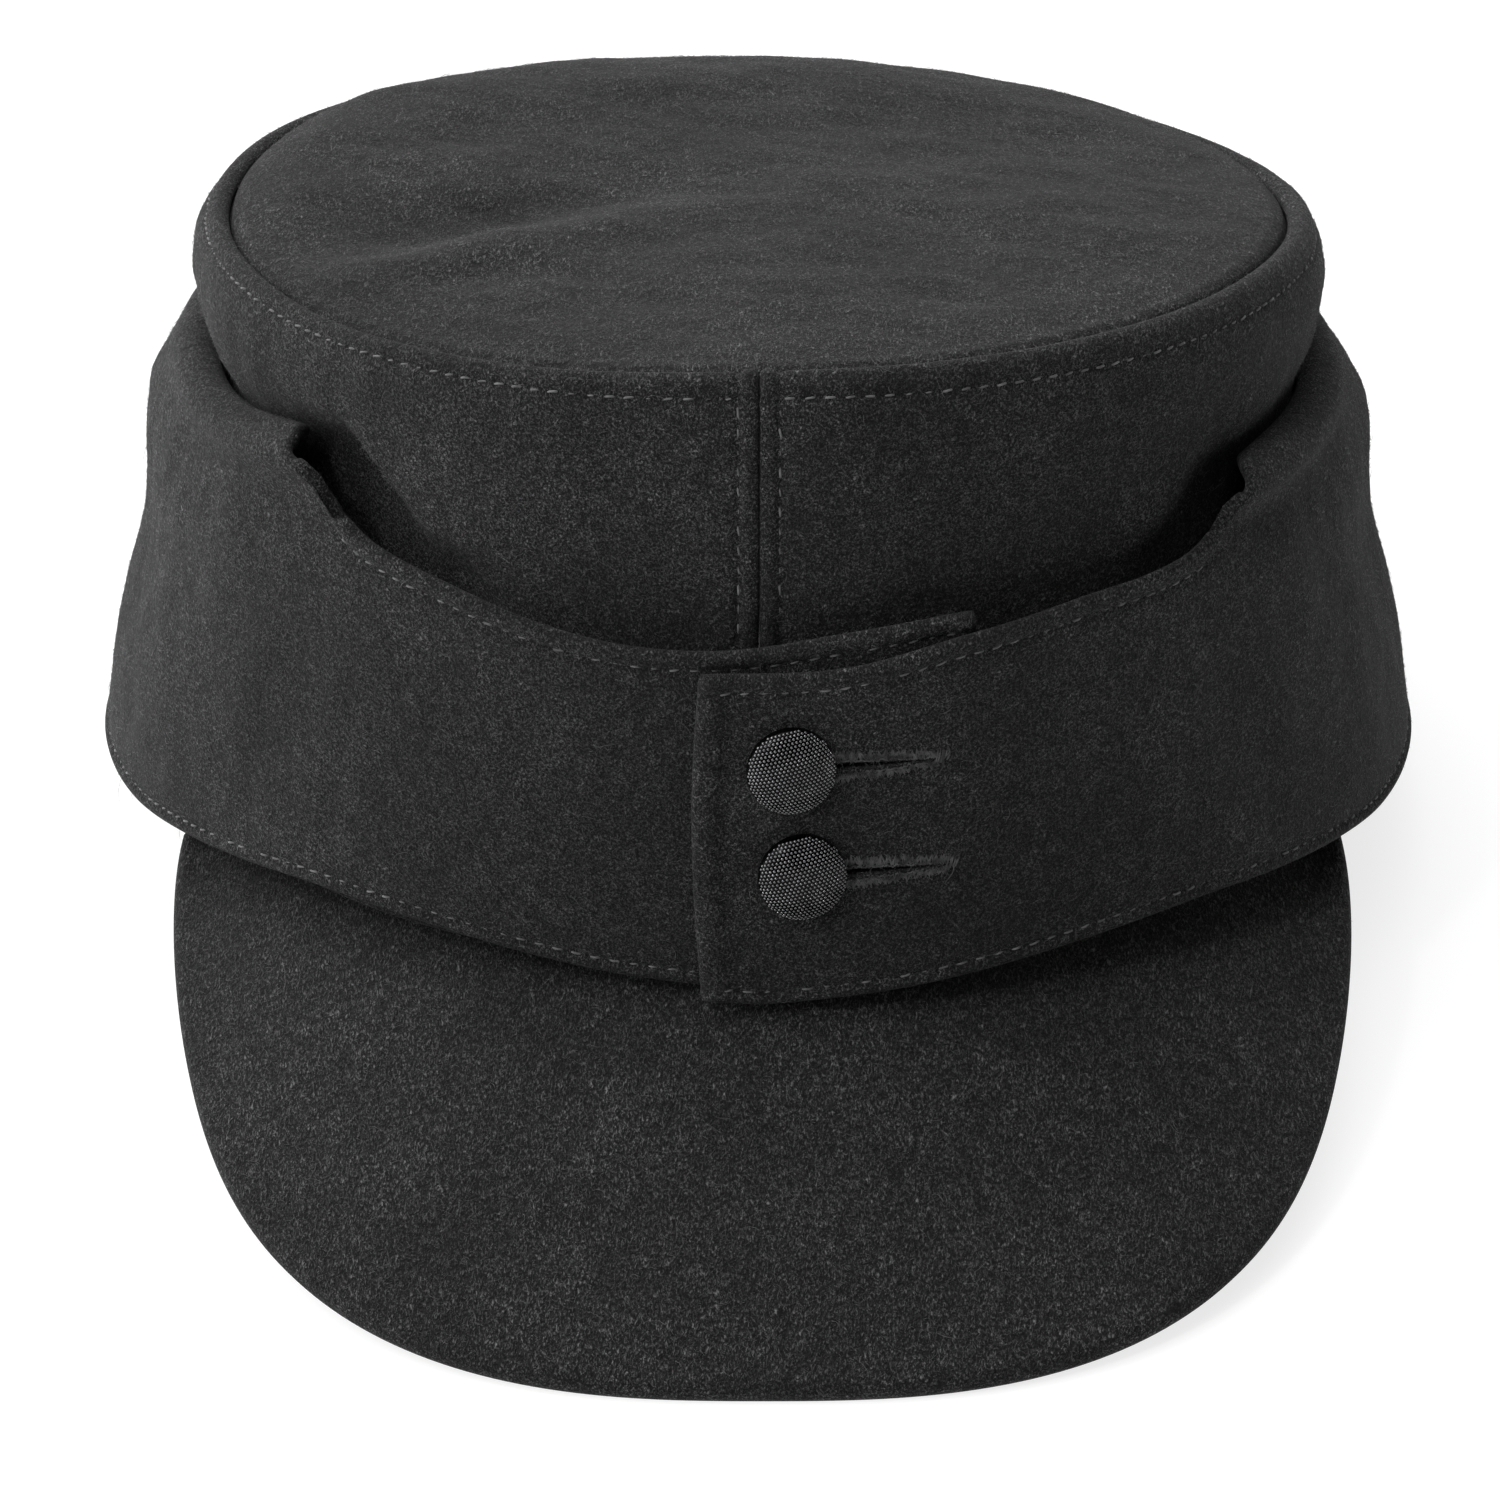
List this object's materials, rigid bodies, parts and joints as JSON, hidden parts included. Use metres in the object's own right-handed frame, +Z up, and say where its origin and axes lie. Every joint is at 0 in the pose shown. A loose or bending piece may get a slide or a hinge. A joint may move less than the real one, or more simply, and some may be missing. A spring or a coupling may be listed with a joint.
{
  "type": "field cap",
  "caption": "Soft wool field cap with an oval top, a short covered peak and fold-up side flaps that overlap and button over the front.",
  "frame": {"origin": "on the surface the cap rests on, under the middle of its box", "axes": "+X the wearer's left, +Y towards the back of the cap, +Z up from the surface"},
  "size_m": [0.195, 0.275, 0.108],
  "materials": {
    "wool": "black milled wool with a short raised nap, matt",
    "button_metal": "dark burnished metal with a fine pebbled face, satin"
  },
  "bodies": {
    "root": {"crown_top": "wool", "crown_side_left": "wool", "crown_side_right": "wool", "flap_under": "wool", "flap_over": "wool", "peak": "wool", "button_upper": "button_metal", "button_lower": "button_metal"}
  },
  "joints": []
}
